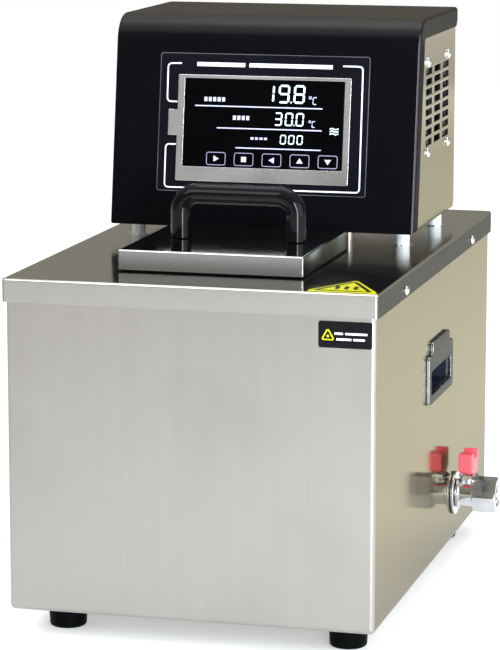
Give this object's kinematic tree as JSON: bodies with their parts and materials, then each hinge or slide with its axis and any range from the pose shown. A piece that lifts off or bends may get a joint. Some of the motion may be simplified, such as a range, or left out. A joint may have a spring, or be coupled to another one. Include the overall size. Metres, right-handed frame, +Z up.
{
  "type": "water bath",
  "caption": "Heated circulating water bath: stainless cabinet with a lift-off bath lid and a raised control head with pump, fan and touch display.",
  "frame": {"origin": "bottom centre of the box round the whole object, on the plane the feet stand on", "axes": "+Z up, front with the bath lid and display towards -Y, drain valve towards +X"},
  "size_m": [0.3256, 0.45, 0.461],
  "materials": {
    "brushed_stainless": "vertical satin brush, slightly warm",
    "polished_stainless": "near-mirror rolled stainless",
    "lid_stainless": "near-mirror folded stainless with a satin rim",
    "grip_steel": "satin plate with bright cut edges",
    "valve_chrome": "bright chrome plate",
    "screw_zinc": "bright zinc plate",
    "head_paint": "fine textured black powder coat",
    "motor_paint": "black enamel",
    "handle_gloss": "high gloss black",
    "foot_rubber": "matt moulded rubber",
    "dark_plastic": "fine moulded texture",
    "pump_plastic": "natural moulded polymer",
    "standoff_plastic": "white turned polymer",
    "lever_plastic": "moulded red plastic",
    "display_film": "smooth black film with fine white lines",
    "bezel_silver": "bright silver frame",
    "screen_glass": "black display glass with lit segments",
    "circuit_board": "green solder mask",
    "heater_metal": "sheathed heating element, heat tinted",
    "case_aluminium": "folded aluminium case",
    "insulation_felt": "thick needled felt",
    "label_film_black": "black printed film",
    "label_film_yellow": "yellow printed film"
  },
  "bodies": {
    "cabinet": {"cabinet_shell": "brushed_stainless", "base_plate": "brushed_stainless", "top_panel": "polished_stainless", "foot_front_left": "foot_rubber", "foot_front_right": "foot_rubber", "foot_rear_left": "foot_rubber", "foot_rear_right": "foot_rubber", "grip_plate_left": "grip_steel", "grip_plate_right": "grip_steel", "grip_cup_left": "dark_plastic", "grip_cup_right": "dark_plastic", "inner_tank": "polished_stainless", "tank_insulation": "insulation_felt", "drain_pipe": "polished_stainless", "drain_washer": "valve_chrome", "valve_body": "valve_chrome", "valve_bonnet_nut": "valve_chrome", "head_cover": "head_paint", "head_base_plate": "brushed_stainless", "head_side_panel_left": "brushed_stainless", "head_side_panel_right": "brushed_stainless", "head_back_panel": "brushed_stainless", "standoff_front_left": "standoff_plastic", "standoff_front_right": "standoff_plastic", "standoff_rear_left": "standoff_plastic", "standoff_rear_right": "standoff_plastic", "display_overlay": "display_film", "display_bezel": "bezel_silver", "display_glass": "screen_glass", "control_board": "circuit_board", "fan_frame": "dark_plastic", "vent_screw_1": "screw_zinc", "vent_screw_2": "screw_zinc", "vent_screw_3": "screw_zinc", "vent_screw_4": "screw_zinc", "pump_column": "polished_stainless", "pump_housing": "pump_plastic", "pump_motor": "motor_paint", "heating_coil": "heater_metal", "temperature_probe": "valve_chrome", "outlet_pipe": "polished_stainless", "return_pipe": "polished_stainless", "outlet_fitting": "valve_chrome", "return_fitting": "valve_chrome", "power_inlet": "dark_plastic", "power_supply": "case_aluminium", "heater_relay": "dark_plastic", "front_label": "label_film_black", "hot_surface_label": "label_film_yellow"},
    "lid": {"tank_lid": "lid_stainless", "lid_gasket": "foot_rubber", "lid_handle": "handle_gloss"},
    "valve_spindle": {"valve_ball": "valve_chrome", "valve_stem": "valve_chrome", "drain_lever": "lever_plastic"},
    "fan": {"fan_rotor": "dark_plastic"},
    "pump_rotor": {"pump_shaft": "valve_chrome", "pump_impeller": "pump_plastic"},
    "rocker": {"power_rocker": "lever_plastic"}
  },
  "joints": [
    {"name": "lid_lift", "type": "slide", "parent": "cabinet", "child": "lid", "axis": [0, 0, 1], "range_m": [0, 0.19]},
    {"name": "valve_turn", "type": "hinge", "parent": "cabinet", "child": "valve_spindle", "pos_m": [0.1383, 0.0797, 0.0625], "axis": [0, 0, 1], "range_deg": [0, 90]},
    {"name": "fan_spin", "type": "hinge", "parent": "cabinet", "child": "fan", "pos_m": [0.0928, 0.0853, 0.388], "axis": [1, 0, 0], "continuous": true},
    {"name": "pump_spin", "type": "hinge", "parent": "cabinet", "child": "pump_rotor", "pos_m": [-0.0172, 0.07, 0.2], "axis": [0, 0, 1], "continuous": true},
    {"name": "rocker_tip", "type": "hinge", "parent": "cabinet", "child": "rocker", "pos_m": [0.0558, 0.1555, 0.335], "axis": [1, 0, 0], "range_deg": [0, 16]}
  ]
}
